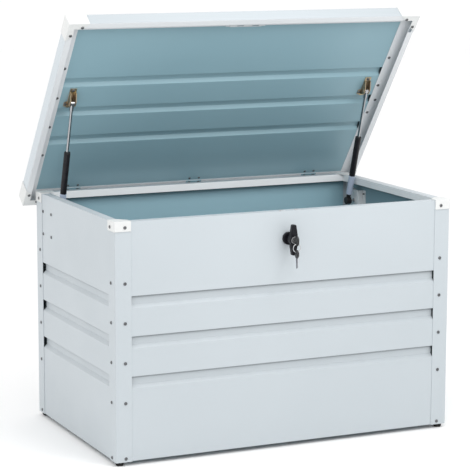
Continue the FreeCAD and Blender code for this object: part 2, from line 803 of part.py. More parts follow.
def make_fixed_leaf(name, place):
    """Leaf on the back wall with two knuckles."""
    body = new_body("hinge_fixed_" + name)
    centre = size.hinge_spacing * place
    half = size.hinge_half
    line, level = size.hinge_line_back, size.hinge_line_level
    radius = size.knuckle_radius
    back = face_y + size.leaf_gauge
    leaf = rectangle(face_y, back, level - 44, level)
    extrude(body, "leaf", "YZ", centre - half, centre + half, [leaf])
    web = [(face_y, level - 10), (line, level - radius), (line, level + radius), (face_y, level)]
    start = size.knuckle_half + size.moving_gap
    for end in (-1, 1):
        low, high = (centre + start, centre + half) if end > 0 else (centre - half, centre - start)
        side = "right" if end > 0 else "left"
        extrude(body, "web_" + side, "YZ", low, high, [web])
        extrude(body, "knuckle_" + side, "YZ", low, high, circles=[((line, level), radius)])
    bore = size.hinge_pin_radius + size.running_gap
    drill(body, "bore", "YZ", centre - half - 1, centre + half + 1, [(line, level)], bore)
    drill(body, "leaf_holes", "XZ", face_y - 1, back + 1, hinge_marks(centre), size.screw_hole)


def make_moving_leaf(name, place):
    """Leaf under the rear of the lid with the centre knuckle."""
    body = lid_body("hinge_moving_" + name)
    centre = size.hinge_spacing * place
    half, middle = size.hinge_half, size.knuckle_half
    line, level = size.hinge_line_back, size.hinge_line_level
    gauge = size.leaf_gauge
    top = size.lid_panel_level - size.rail_gauge
    strip = rectangle(line + 3, line + 3 + gauge, level, top)
    extrude(body, "neck", "YZ", centre - middle, centre + middle, [strip])
    knuckle = [((line, level), size.knuckle_radius)]
    extrude(body, "knuckle", "YZ", centre - middle, centre + middle, circles=knuckle)
    strip = rectangle(line + 3, line + 3 + gauge, level + 8, top)
    extrude(body, "upright", "YZ", centre - half, centre + half, [strip])
    plate = rectangle(line - 13, line + 3 + gauge, top - gauge, top)
    extrude(body, "flange", "YZ", centre - half, centre + half, [plate])
    bore = size.hinge_pin_radius + size.running_gap
    drill(body, "bore", "YZ", centre - half - 1, centre + half + 1, [(line, level)], bore)
    marks = moving_leaf_marks(centre)
    drill(body, "leaf_holes", "XY", top - 3, top + 1, marks, size.screw_hole)


def make_hinge_pins():
    """The three hinge pins, each with a head at one end."""
    radius = size.hinge_pin_radius.value
    reach = size.hinge_half.value + 2
    gap = size.moving_gap.value
    pin = turned([
        (0, -reach), (radius - 0.6, -reach), (radius, -reach + 0.6),
        (radius, reach - 2 + gap), (radius + 1.5, reach - 2 + gap), (radius + 1.5, reach),
        (0, reach),
    ])
    line, level = size.hinge_line_back, size.hinge_line_level
    solids = [placed(pin, (centre, line, level), (1, 0, 0)) for centre in hinge_centres()]
    make_group("hinge_pins", solids)


# ---------------------------------------------------------------- gas struts

def make_wall_bracket(name, side):
    """Lower strut bracket: a hat section screwed to the side wall."""
    body = new_body("strut_bracket_" + name)
    gauge = size.wall_bracket_gauge
    wall = face_x - size.sheet_gauge
    crown = wall - size.wall_bracket_rise
    middle = size.ball_back
    outline = [
        (wall, middle - 40), (wall - gauge, middle - 40), (wall - gauge, middle - 25),
        (crown, middle - 25), (crown, middle + 25), (wall - gauge, middle + 25),
        (wall - gauge, middle + 40), (wall, middle + 40), (wall, middle + 25 - gauge),
        (crown + gauge, middle + 25 - gauge), (crown + gauge, middle - 25 + gauge),
        (wall, middle - 25 + gauge),
    ]
    points = [(x * side, y) for x, y in outline]
    level = size.ball_level
    extrude(body, "hat", "XY", level - 52, level + 32, [points])
    low, high = sorted_levels(wall * side, 3)
    drill(body, "wall_holes", "YZ", low, high, bracket_marks(), size.screw_hole)
    low, high = sorted_levels(crown * side, 3)
    drill(body, "stud_hole", "YZ", low, high, [(middle, level)], 4.1)


def make_ball_studs():
    """Ball studs of both struts, each with its nut behind the bracket."""
    ball = size.ball_radius.value
    reach = face_x.value - 1 - size.wall_bracket_rise.value - size.strut_plane.value
    back = reach + size.wall_bracket_gauge.value
    neck = math.sqrt(ball ** 2 - 9)
    stud = turned([
        (0, neck), (3, neck), (3, reach - 5), (6.5, reach - 3.5), (6.5, reach),
        (4, reach), (4, back), (7, back), (7, back + 4), (4, back + 4), (4, back + 7), (0, back + 7),
    ]).fuse(Part.makeSphere(ball)).removeSplitter()
    solids = []
    for side in SIDES.values():
        spot = (size.strut_plane * side, size.ball_back, size.ball_level)
        solids.append(placed(stud, spot, (side, 0, 0)))
    make_group("strut_ball_studs", solids)


def pivot_opened():
    """Upper strut pivot in the open position."""
    closed = vec(0, size.pivot_back.value, size.pivot_level.value)
    return lid_opened().multVec(closed)


def strut_vector():
    """From the ball to the upper pivot in the open position."""
    return pivot_opened() - vec(0, size.ball_back.value, size.ball_level.value)


def strut_body(label, side):
    """Start one strut piece, drawn along +Z from the ball and leaned into place."""
    body = new_body(label)
    base = vec(size.strut_plane.value * side, size.ball_back.value, size.ball_level.value)
    turn = FreeCAD.Rotation(vec(0, 0, 1), strut_vector())
    body.Placement = FreeCAD.Placement(base, turn)
    return body


def make_strut_end(name, side):
    """Socket that snaps over the ball, with the shank of the tube."""
    body = strut_body("strut_end_" + name, side)
    half = size.socket_half
    extrude(body, "socket", "YZ", -half, half, circles=[((0, 0), size.socket_radius)])
    shank = [((0, 0), size.tube_radius - 2.5)]
    extrude(body, "shank", "XY", 5, size.tube_start, circles=shank)
    round_edges(body, "soft_rim", 1.2, socket_rim)
    seat = size.ball_radius + size.running_gap * 2
    drill(body, "seat", "YZ", -seat, seat, [(0, 0)], seat)
    low, high = (0, half + 1) if side > 0 else (-(half + 1), 0)
    drill(body, "mouth", "YZ", low, high, [(0, 0)], 3.8)


def socket_rim(edge):
    """Edge test: the two outer rims of the socket."""
    box = edge.BoundBox
    flat = box.XLength < 0.01 and near(abs(box.XMin), size.socket_half.value)
    return flat and box.YLength > size.socket_radius.value


def make_strut_tube(name, side):
    """Pressure tube with a closed foot and a rod guide at the top."""
    body = strut_body("strut_tube_" + name, side)
    start, end = size.tube_start, size.tube_end
    outer, bore = size.tube_radius, size.tube_bore
    guide = size.rod_radius + size.running_gap
    outline = [
        (0, start), (outer - 1, start), (outer, start + 1), (outer, end - 1.5),
        (outer - 1.5, end), (guide, end), (guide, end - 6.5), (bore, end - 6.5),
        (bore, start + 3), (0, start + 3),
    ]
    revolve(body, "barrel", "YZ", outline)


def make_strut_rod(name, side):
    """Rod with its piston, end eye and pivot stub."""
    body = strut_body("strut_rod_" + name, side)
    reach = strut_vector().Length
    rod, piston = size.rod_radius, size.piston_radius
    outline = [
        (0, 180), (piston, 180), (piston, 190), (rod, 190), (rod, reach - 23), (rod + 1.8, reach - 22),
        (rod + 1.8, reach - 4), (0, reach - 4),
    ]
    revolve(body, "rod", "YZ", outline)
    extrude(body, "eye", "YZ", -5, 5, circles=[((0, reach), size.eye_radius)])
    stub = size.cheek_half - size.cheek_gauge - size.moving_gap
    extrude(body, "stub", "YZ", -stub, stub, circles=[((0, reach), size.rod_radius)])


def make_lid_bracket(name, side):
    """Upper strut bracket: a base with ears and two hanging cheeks."""
    body = lid_body("lid_bracket_" + name)
    plane, gauge = size.strut_plane, size.cheek_gauge
    top = size.lid_panel_level
    ears = [
        (-9.5, -86), (9.5, -86), (9.5, -40), (18.5, -37), (18.5, -23), (9.5, -20), (9.5, -18),
        (-9.5, -18), (-9.5, -20), (-18.5, -23), (-18.5, -37), (-9.5, -40),
    ]
    outline = [((plane + x) * side, y) for x, y in ears]
    extrude(body, "base", "XY", top - gauge, top, [outline])
    pivot_y, pivot_z = size.pivot_back, size.pivot_level
    cheek = [
        (-74, top - gauge / 2), (-74, top - 8), (pivot_y - 8, pivot_z - 7), (pivot_y + 7, pivot_z - 7),
        (pivot_y + 12, pivot_z - 1), (-22, top - gauge / 2),
    ]
    for word, place in (("inner", -1), ("outer", 1)):
        middle = (plane + (size.cheek_half - gauge / 2) * place) * side
        extrude(body, "cheek_" + word, "YZ", middle - gauge / 2, middle + gauge / 2, [cheek])
    low, high = sorted_levels(plane * side, size.cheek_half.value + 2)
    drill(body, "pivot_hole", "YZ", low, high, [(pivot_y, pivot_z)], size.rod_radius)
    drill(body, "base_holes", "XY", top - 3, top + 1, bracket_screws(side), size.screw_hole)


def make_bracket_rivets():
    """Rivet heads on both cheeks of each upper bracket."""
    gauge = size.cheek_gauge.value
    rivet = turned([(0, -gauge), (3.9, -gauge), (3.9, 0), (6, 0), (5.2, 1.3), (3, 1.8), (0, 1.8)])
    solids = []
    for side in SIDES.values():
        for place in (-1, 1):
            across = (size.strut_plane + size.cheek_half * place) * side
            spot = (across, size.pivot_back, size.pivot_level)
            solids.append(placed(rivet, spot, (place * side, 0, 0)))
    make_group("lid_bracket_rivets", solids, lid_opened())


# ---------------------------------------------------------------- lock

def lock_disc(body, name, low, high, radius, cut=False):
    """Round pad or pocket about the lock axis, between two depths along Y."""
    circle = [((0, size.lock_level), radius)]
    return extrude(body, name, "XZ", low, high, circles=circle, cut=cut)


def make_lock_housing():
    """Rosette on the front wall with the threaded barrel behind it."""
    body = new_body("lock_housing")
    front = -(face_y + size.rosette_height)
    inner = size.barrel_reach - face_y
    lock_disc(body, "rosette", front, -face_y, size.rosette_radius)
    lock_disc(body, "barrel", -face_y, inner, size.barrel_radius)
    lock_disc(body, "bore", front, inner, size.shaft_radius + size.running_gap, cut=True)
    level = front.value
    round_edges(body, "soft_front", 2, lambda edge: outer_ring(edge, level, 17))


def outer_ring(edge, level, least):
    """True for a ring edge across the Y axis at one depth and wider than a radius."""
    box = edge.BoundBox
    return box.YLength < 0.01 and near(box.YMin, level) and box.XLength > 2 * least


def make_lock_nut():
    """Hexagon nut behind the front wall."""
    body = new_body("lock_nut")
    low = size.sheet_gauge - face_y
    high = low + size.nut_height
    outline = []
    for step in range(6):
        angle = math.radians(60 * step)
        across = size.nut_radius * round(math.cos(angle), 6)
        along = size.lock_level + size.nut_radius * round(math.sin(angle), 6)
        outline.append((across, along))
    extrude(body, "hexagon", "XZ", low, high, [outline])
    lock_disc(body, "thread", low, high, size.barrel_radius + 0.1, cut=True)


def make_handle():
    """T-handle with its hub, neck and shaft."""
    body = new_body("lock_handle")
    front, back = -size.grip_front, -size.grip_back
    level, half = size.lock_level, size.grip_length / 2
    grip = [
        (-5.5, level - half), (5.5, level - half), (10, level - 14), (10, level + 14),
        (5.5, level + half), (-5.5, level + half), (-10, level + 14), (-10, level - 14),
    ]
    extrude(body, "grip", "XZ", front, back, [grip])
    round_edges(body, "grip_ends", 4, grip_end)
    round_edges(body, "grip_soft", 2.5, lambda edge: on_depth(edge, (front.value, back.value)))
    lock_disc(body, "hub", front, back, size.hub_radius)
    rosette = -(face_y + size.rosette_height + size.moving_gap)
    lock_disc(body, "neck", back, rosette, size.neck_radius)
    lock_disc(body, "shaft", rosette, -291.2, size.shaft_radius)
    lock_disc(body, "plug_bore", front, front + 17, size.plug_radius, cut=True)


def grip_end(edge):
    """Edge test: the depth-wise edges at the two ends of the grip."""
    box = edge.BoundBox
    reach = abs((box.ZMin + box.ZMax) / 2 - size.lock_level.value)
    return box.YLength > 10 and reach > 40


def on_depth(edge, depths):
    """True for an edge that lies at one of the given depths along Y."""
    box = edge.BoundBox
    return box.YLength < 0.01 and any(near(box.YMin, depth) for depth in depths)


def make_cam():
    """Crank on the handle shaft with the pin that drives the latch."""
    body = new_body("lock_cam")
    level, offset = size.lock_level, size.crank_offset
    low, high = -294.5, -291.5
    lock_disc(body, "hub", low, high, 7.5)
    arm = [
        (-5.5, level - 5), (5.5, level + 5), (2 - offset, level + offset + 4.5),
        (-4 - offset, level + offset + 1), (-offset - 4, level + offset - 2.5),
    ]
    extrude(body, "arm", "XZ", low, high, [arm])
    pin = [((-offset, level + offset), 2)]
    extrude(body, "pin", "XZ", low, -287.4, circles=pin)
    lock_disc(body, "shaft_hole", low, high, size.shaft_radius + size.running_gap, cut=True)


def make_latch():
    """Sliding plate stepped forward at the top, with two hooks, a crank slot and guide slots."""
    body = new_body("latch_slide")
    high = -size.latch_back
    gauge = size.latch_gauge
    low = high - gauge
    extrude(body, "plate", "XZ", low, high, [rectangle(-24, 12, 570, 637)])
    front = -(size.hook_line + gauge / 2)
    extrude(body, "step", "XZ", front, high, [rectangle(-24, 12, 635.5, 637)])
    extrude(body, "bar", "XZ", front, front + gauge, [latch_bar(size.hook_spacing)])
    travel = size.latch_travel
    slots = [rectangle(-travel - 3.9, 3.9, level - 3.9, level + 3.9) for level in (602, 628)]
    crank = size.crank_offset
    level = size.lock_level + crank
    slots.append(rectangle(-crank - 2.6, 2.6 - crank, level - 2.6, level + 5.2))
    extrude(body, "slots", "XZ", low, high, slots, cut=True)


def latch_bar(spread):
    """Upper bar of the latch with its two hooks, as (x, z) points."""
    return [
        (-34, 635.5), (34, 635.5), (34, 646), (spread + 3, 646), (spread + 3, 650.9),
        (spread + 9, 650.9), (spread + 9, 652.4), (spread - 3, 652.4), (spread - 3, 646),
        (3 - spread, 646), (3 - spread, 650.9), (9 - spread, 650.9), (9 - spread, 652.4),
        (-3 - spread, 652.4), (-3 - spread, 646), (-34, 646),
    ]


def make_latch_guides():
    """Two shoulder studs on the front wall that carry the latch."""
    start = (face_y - size.sheet_gauge).value
    reach = start - size.latch_back.value + size.moving_gap.value
    stud = turned([
        (0, 0), (5, 0), (5, 3), (3.5, 3), (3.5, reach), (6.5, reach), (6.5, reach + 1.5),
        (5.5, reach + 2), (0, reach + 2),
    ])
    solids = [placed(stud, (0, -start, level), (0, 1, 0)) for level in (602, 628)]
    make_group("latch_guides", solids)


def make_cylinder():
    """Lock cylinder with its bezel and key slot."""
    body = new_body("lock_cylinder")
    front = -size.grip_front
    face = front - size.moving_gap - 1.2
    lock_disc(body, "bezel", face, front - size.moving_gap, 9.7)
    lock_disc(body, "plug", face, front + 16, size.plug_radius - size.running_gap)
    level = size.lock_level
    slot = rectangle(-1.2, 1.2, level - 4.4, level + 4.4)
    extrude(body, "keyway", "XZ", face, front + 12, [slot], cut=True)
    round_edges(body, "soft_bezel", 0.5, lambda edge: outer_ring(edge, face.value, 9))


def bow(near_end, far_end, centre, half):
    """Chamfered outline of a key bow between two positions, as (y, z) points."""
    cut = 6
    return [
        (near_end, centre - half + cut), (near_end, centre + half - cut),
        (near_end + cut, centre + half), (far_end - cut, centre + half),
        (far_end, centre + half - cut), (far_end, centre - half + cut),
        (far_end - cut, centre - half), (near_end + cut, centre - half),
    ]


def make_key():
    """Key in the lock: moulded bow and metal blade."""
    body = new_body("key")
    level, reach = size.lock_level, -size.key_reach
    extrude(body, "bow", "YZ", -2.5, 2.5, [bow(reach, reach + 20.5, level, 13)])
    blade = rectangle(reach + 18, 12 - size.grip_front - 0.5, level - 4, level + 4)
    extrude(body, "blade", "YZ", -1, 1, [blade])
    hole = [(-size.key_line, level - 8)]
    drill(body, "ring_hole", "YZ", -4, 4, hole, 2.3)
    round_edges(body, "soft_bow", 1.2, bow_rim)


def bow_rim(edge):
    """Edge test: the outer rims of a key bow."""
    box = edge.BoundBox
    straight = len(edge.Vertexes) == 2
    return straight and box.XLength < 0.01 and near(abs(box.XMin), 2.5)


def make_key_ring():
    """Wire ring through the bows of both keys."""
    ring = doc.addObject("Part::Torus", "key_ring")
    ring.Label = "key_ring"
    bind(ring, "Radius1", size.ring_radius)
    bind(ring, "Radius2", size.ring_wire)
    centre = vec(0, -size.key_line.value, size.lock_level.value - 8 - size.ring_radius.value)
    turn = FreeCAD.Rotation(vec(1, 0, 0), 90)
    ring.Placement = FreeCAD.Placement(centre, turn)
    nodes.append(ring)


def make_spare_key():
    """Spare key hanging from the ring."""
    body = new_body("spare_key")
    line = -size.key_line
    hang = size.lock_level - 8 - size.ring_radius * 2
    centre = hang - 5
    extrude(body, "bow", "YZ", -2.5, 2.5, [bow(line - 9.2, line + 9.2, centre, 11)])
    blade = [
        (line - 4, centre - 9), (line - 4, centre - 36), (line, centre - 39),
        (line + 2.5, centre - 37), (line + 1.6, centre - 33), (line + 3.4, centre - 30),
        (line + 2.2, centre - 27), (line + 4, centre - 24), (line + 2.6, centre - 21),
        (line + 4, centre - 18), (line + 4, centre - 9),
    ]
    extrude(body, "blade", "YZ", -1, 1, [blade])
    drill(body, "ring_hole", "YZ", -4, 4, [(line, hang)], 2.3)
    round_edges(body, "soft_bow", 1.2, bow_rim)


# ---------------------------------------------------------------- assembly

def make_box():
    """Fixed pieces of the box."""
    make_front_wall()
    make_back_wall()
    for name, side in SIDES.items():
        make_side_wall(name + "_panel", side)
    make_tray()
    for name, sides in CORNERS.items():
        make_post(name, sides)
        make_rim_cap(name, sides)
        make_foot(name, sides)
    make_frame_screws()
    make_wall_screws()


def make_lid():
    """Pieces that turn with the lid."""
    make_lid_panel()
    for name, side in (("front", -1), ("rear", 1)):
        make_long_rail(name, side)
    for name, side in SIDES.items():
        make_side_rail(name, side)
    for name, sides in CORNERS.items():
        make_lid_cap(name, sides)
    make_lid_cap_screws()
    make_lid_screws()
    make_strike()
    for name, side in SIDES.items():
        make_lid_bracket(name, side)
    make_bracket_rivets()


def make_hinges():
    """Three hinges along the back."""
    for name, place in HINGES.items():
        make_fixed_leaf(name, place)
        make_moving_leaf(name, place)
    make_hinge_pins()


def make_struts():
    """Gas struts with their lower brackets."""
    for name, side in SIDES.items():
        make_wall_bracket(name, side)
        make_strut_end(name, side)
        make_strut_tube(name, side)
        make_strut_rod(name, side)
    make_ball_studs()


def make_lock():
    """Lock, latch and keys."""
    make_lock_housing()
    make_lock_nut()
    make_handle()
    make_cam()
    make_latch()
    make_latch_guides()
    make_cylinder()
    make_key()
    make_key_ring()
    make_spare_key()


def export_nodes():
    """Check every object and write one file per sub-part."""
    doc.recompute()
    for item in doc.Objects:
        bad = [state for state in item.State if state in ("Invalid", "Error")]
        if bad:
            raise RuntimeError("%s is %s" % (item.Label, ", ".join(bad)))
    for node in nodes:
        if node.Shape.isNull() or not node.Shape.isValid():
            raise RuntimeError("%s has no valid shape" % node.Label)
        node.Shape.exportStep("parts/%s.step" % node.Label)


make_box()
make_lid()
make_hinges()
make_struts()
make_lock()
export_nodes()
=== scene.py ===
import math

import bmesh
import bpy
from mathutils import Matrix, Vector


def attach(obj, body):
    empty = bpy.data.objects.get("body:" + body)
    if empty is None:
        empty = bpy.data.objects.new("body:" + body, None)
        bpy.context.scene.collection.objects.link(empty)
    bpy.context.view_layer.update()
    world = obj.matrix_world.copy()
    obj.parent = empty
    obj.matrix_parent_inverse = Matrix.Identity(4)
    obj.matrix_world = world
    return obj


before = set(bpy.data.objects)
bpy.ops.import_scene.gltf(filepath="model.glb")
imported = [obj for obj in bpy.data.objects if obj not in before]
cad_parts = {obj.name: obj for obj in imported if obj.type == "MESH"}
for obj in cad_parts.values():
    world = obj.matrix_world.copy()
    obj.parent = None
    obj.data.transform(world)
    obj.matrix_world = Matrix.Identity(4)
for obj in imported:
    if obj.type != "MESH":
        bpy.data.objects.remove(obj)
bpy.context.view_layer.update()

# Sizes in metres and angles in radians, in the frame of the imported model.
HINGE_LINE = Vector((0.0, 0.310, 0.622))
OPEN_ANGLE = math.radians(53.2)
WALL_FACE = {"x": 0.4968, "y": 0.3018}
RIM_TOP = 0.649
LIP_DROP = 0.0205
LIP_DEPTH = 0.0245
INNER_SKIN_TOP = RIM_TOP - 0.003
POST_EDGE = {"x": 0.4525, "y": 0.2575}
POST_SHADE_TOP = RIM_TOP - 0.030
GROOVE_TOPS = (0.453, 0.346, 0.239)
GROOVE_PROBE = 0.006
RIB_STEPS = (-0.123, -0.016, 0.091)
RIB_LEVEL = 0.657
RIB_END = 0.489
# Width of the painted shade lines under the grooves and along the lid ribs.
SHADE_LINE_WIDTH = 0.0075
KEY_BLADE_HALF = 0.00115
KEY_BLADE_FRONT = -0.3440
SPARE_BLADE_TOP = 0.5289

# Start, width and strength of the shadow under the rim.
RIM_SHADOW = (RIM_TOP - 0.020, -0.013, 0.75)

# Shares: of the wall's face that the lip lies within, and of a facing that counts.
LIP_SHARE = 0.9985
LEDGE_FACING = -0.8
LEVEL_FACING = 0.5
INWARD_FACING = 0.35
LID_FACING = 0.3

# Gas struts: ball and upper pivot on the right, and (inner radius, outer radius, start,
# end, bevel) of the pieces on the tube, measured along it from the ball.
STRUT_BALL = Vector((0.457, 0.216, 0.578))
STRUT_PIVOT = Vector((0.457, 0.112679, 0.916481))
SLEEVE = (0.0088, 0.00915, 0.0225, 0.082, 0.0001)
GLAND = (0.00415, 0.0086, 0.2035, 0.2080, 0.0008)
SIDES = {"left": -1, "right": 1}

# Colours, linear.
SHELL = (0.500, 0.545, 0.575)
SHELL_SHADE = (0.480, 0.526, 0.555)
RIM = (0.690, 0.712, 0.730)
RIM_SHADE = (0.665, 0.688, 0.706)
TEAL = (0.262, 0.410, 0.468)
TEAL_SHADE = (0.236, 0.380, 0.438)
# Hanging lip of the rim: its light coat, lightened further as painted light.
LIT_LIP = (0.860, 0.876, 0.886)
LIT_LIP_SHADE = (0.835, 0.852, 0.862)
WHITE = (0.700, 0.712, 0.706)
WHITE_SHADE = (0.680, 0.692, 0.686)
# Painted shade in the gaps where the post flanges cover the wall ends.
POST_GAP_SHADE = (0.035, 0.045, 0.048)
# Painted shade under the groove edges, along the lid ribs and under the rim.
PAINTED_SHADE = (0.050, 0.062, 0.068)
# Painted shade on the outer faces that face down.
LEDGE_PAINTED_SHADE = (0.24, 0.27, 0.29)
FLOOR = (0.985, 0.985, 0.985)
FLOOR_SHADE = (0.975, 0.975, 0.975)

# Colours of the small pieces, linear; a pair is the colour and its darker patches.
SLEEVE_FOIL = (0.45, 0.51, 0.62), (0.37, 0.44, 0.56)
HINGE = (0.66, 0.69, 0.71), (0.60, 0.63, 0.66)
BRACKET = (0.74, 0.76, 0.77), (0.70, 0.73, 0.745)
SCREW_STEEL = (0.20, 0.205, 0.21), (0.14, 0.145, 0.15)
BRIGHT_STEEL = (0.62, 0.63, 0.64), (0.54, 0.55, 0.56)
ROD_CHROME = (0.46, 0.47, 0.48), (0.40, 0.41, 0.42)
RUBBER = (0.014, 0.014, 0.014)
TUBE_BLACK = (0.012, 0.012, 0.014)
SOCKET_BLACK = (0.014, 0.014, 0.015)
GLAND_BLACK = (0.012, 0.012, 0.013)
HANDLE_BLACK = (0.006, 0.006, 0.0085)
KEY_BLACK = (0.012, 0.012, 0.013)
KEY_BLACK_EDGE = (0.04, 0.04, 0.043)
KEY_NICKEL = (0.30, 0.30, 0.32)
ZINC_GOLD = (0.50, 0.38, 0.19)
ZINC_OLIVE = (0.42, 0.36, 0.25)
ZINC_ROSE = (0.36, 0.24, 0.22)
ZINC_EDGE = (0.80, 0.70, 0.52)

# Finishes: rounding of the edges and depth of the grain, in metres.
COAT_SPECULAR = 0.45
COAT_GLOSS = (0.36, 0.46)
COAT_EDGE = 0.0012
FINE_EDGE = 0.0006
METAL_EDGE = 0.0004
METAL_GRAIN = 0.00002

# Studio: name, place, aim, width in metres and power in watts of each light.
LIGHTS = (
    ("key_light", (1.1, -3.0, 2.6), (0, 0, 0.7), 1.6, 12),
    ("near_light", (0.1, -1.0, 1.75), (0, 0.1, 0.45), 0.9, 9.5),
    ("side_light", (-1.7, -0.3, 1.7), (-0.4, 0, 0.4), 0.9, 4.5),
)
WORLD_STRENGTH = 1.03
FLOOR_HALF = 14.0

# Camera of the product view.
LENS = 152.1
SENSOR = 36.0
CLIP_END = 60.0
CAMERA_PLACE = (-2.3318, -4.9925, 1.4622)
CAMERA_AHEAD = (0.41488, 0.89468, -0.16559)
CAMERA_ROLL = math.radians(0.16)


def scaled(colour, gain):
    """Colour times a gain, held at white."""
    return tuple(min(1.0, gain * part) for part in colour)


class Graph:
    """Builds the node tree of one material."""

    def __init__(self, name):
        self.material = bpy.data.materials.new(name)
        self.material.use_nodes = True
        self.tree = self.material.node_tree
        self.shader = self.tree.nodes["Principled BSDF"]

    def feed(self, socket, value):
        """Link a socket, or set it when the value is plain."""
        if isinstance(value, bpy.types.NodeSocket):
            self.tree.links.new(value, socket)
        elif socket.type == "RGBA" and len(value) == 3:
            socket.default_value = (*value, 1.0)
        else:
            socket.default_value = value

    def add(self, kind, inputs=None, **settings):
        """Add a node, set its options and feed its inputs."""
        node = self.tree.nodes.new("ShaderNode" + kind)
        for key, value in settings.items():
            setattr(node, key, value)
        for key, value in (inputs or {}).items():
            self.feed(node.inputs[key], value)
        return node

    def place(self):
        """Position on the piece, in metres."""
        return self.add("TexCoord").outputs["Object"]

    def facing(self):
        """True surface normal, in the piece's own frame."""
        world = self.add("NewGeometry").outputs["True Normal"]
        turn = self.add("VectorTransform", {"Vector": world}, vector_type="NORMAL",
                        convert_from="WORLD", convert_to="OBJECT")
        return turn.outputs[0]

    def math(self, operation, first, second=0.0):
        """Result of a sum, comparison or other operation on one or two values."""
        node = self.add("Math", {0: first, 1: second}, operation=operation)
        return node.outputs[0]

    def split(self, vector):
        """X, Y and Z of a vector."""
        return self.add("SeparateXYZ", {0: vector}).outputs

    def noise(self, scale, detail=3.0):
        """Noise between 0 and 1 at a scale in cells per metre."""
        inputs = {"Vector": self.place(), "Scale": scale, "Detail": detail}
        return self.add("TexNoise", inputs).outputs["Fac"]

    def span(self, value, low, high, start=0.3, end=0.7):
        """Map a value from one range to another, held at both ends."""
        node = self.add("MapRange", {"Value": value, "From Min": start, "From Max": end,
                                     "To Min": low, "To Max": high})
        return node.outputs[0]

    def mix(self, factor, first, second):
        """Blend two colours."""
        node = self.add("Mix", data_type="RGBA")
        colours = [socket for socket in node.inputs if socket.type == "RGBA"]
        self.feed(node.inputs[0], factor)
        self.feed(colours[0], first)
        self.feed(colours[1], second)
        return next(socket for socket in node.outputs if socket.type == "RGBA")

    def soft_edges(self, radius):
        """Normal rounded over the edges, and a mask of those edges."""
        rounded = self.add("Bevel", {"Radius": radius}, samples=6).outputs[0]
        plain = self.add("NewGeometry").outputs["Normal"]
        dot = self.add("VectorMath", {0: rounded, 1: plain}, operation="DOT_PRODUCT")
        mask = self.span(dot.outputs["Value"], 1.0, 0.0, 0.80, 0.995)
        return rounded, mask

    def bump(self, height, depth, normal=None):
        """Bump from a height between 0 and 1, with its depth in metres."""
        inputs = {"Height": height, "Distance": depth, "Strength": 1.0}
        if normal is not None:
            inputs["Normal"] = normal
        return self.add("Bump", inputs).outputs[0]

    def finish(self, colour, roughness, normal, **plain):
        """Feed the shader; plain values go straight onto its sockets."""
        self.feed(self.shader.inputs["Base Color"], colour)
        self.feed(self.shader.inputs["Roughness"], roughness)
        self.feed(self.shader.inputs["Normal"], normal)
        for key, value in plain.items():
            self.shader.inputs[key.replace("_", " ")].default_value = value
        return self.material


def powder(graph, colour, shade):
    """Powder-coat colour: slow patches, fine speckle."""
    patches = graph.span(graph.noise(2.3, 2.0), 0.0, 1.0)
    body = graph.mix(patches, colour, shade)
    speckle = graph.span(graph.noise(1500.0, 1.0), 0.0, 0.10)
    return graph.mix(speckle, body, scaled(shade, 0.72))


def powder_surface(graph, radius):
    """Orange peel over slightly uneven sheet, with rounded edges."""
    rounded, edges = graph.soft_edges(radius)
    waves = graph.bump(graph.noise(4.5, 1.0), 0.0012, rounded)
    peel = graph.bump(graph.noise(520.0, 2.0), 0.000035, waves)
    return peel, edges


def rub_edges(graph, body, edges, bright, most):
    """Blend a brighter colour unevenly over the edges."""
    rubbed = graph.math("MULTIPLY", edges, graph.span(graph.noise(60.0), 0.05, most))
    return graph.mix(rubbed, body, bright)


def coat_finish(graph, body, normal, low, high):
    """Finish a powder coat, its roughness drifting between two values."""
    gloss = graph.span(graph.noise(9.0), low, high)
    return graph.finish(body, gloss, normal, Specular_IOR_Level=COAT_SPECULAR)


def coat(name, colour, shade, roughness=0.42, radius=COAT_EDGE):
    """Single-colour powder coat."""
    graph = Graph(name)
    normal, edges = powder_surface(graph, radius)
    body = powder(graph, colour, shade)
    body = rub_edges(graph, body, edges, scaled(colour, 1.12), 0.55)
    return coat_finish(graph, body, normal, roughness - 0.05, roughness + 0.05)


def two_tone(name, inside, outer_light_and_shade, inner_painted_shade, inner_light_gain=1.0):
    """Powder coat that is light outside and teal inside.

    inside() gives the mask of the teal side; the two mark functions add each side's
    painted shade, and the lip's light colour with painted light in it, to that side's
    coat.
    """
    graph = Graph(name)
    normal, edges = powder_surface(graph, COAT_EDGE)
    outer = powder(graph, SHELL, SHELL_SHADE)
    outer = rub_edges(graph, outer, edges, scaled(SHELL, 1.12), 0.5)
    place = graph.split(graph.place())
    facing = graph.split(graph.facing())
    # Painted shade, in uneven patches, on the outer faces that face down.
    ledge = graph.math("LESS_THAN", facing[2], LEDGE_FACING)
    ledge_shade = graph.span(graph.noise(30.0), 0.40, 0.62)
    outer = graph.mix(graph.math("MULTIPLY", ledge, ledge_shade), outer, LEDGE_PAINTED_SHADE)
    outer = outer_light_and_shade(graph, outer, place, facing)
    # The gain scales this wall's teal as painted light and shade.
    inner = powder(graph, scaled(TEAL, inner_light_gain), scaled(TEAL_SHADE, inner_light_gain))
    inner = inner_painted_shade(graph, inner, place)
    body = graph.mix(inside(graph), outer, inner)
    return coat_finish(graph, body, normal, *COAT_GLOSS)


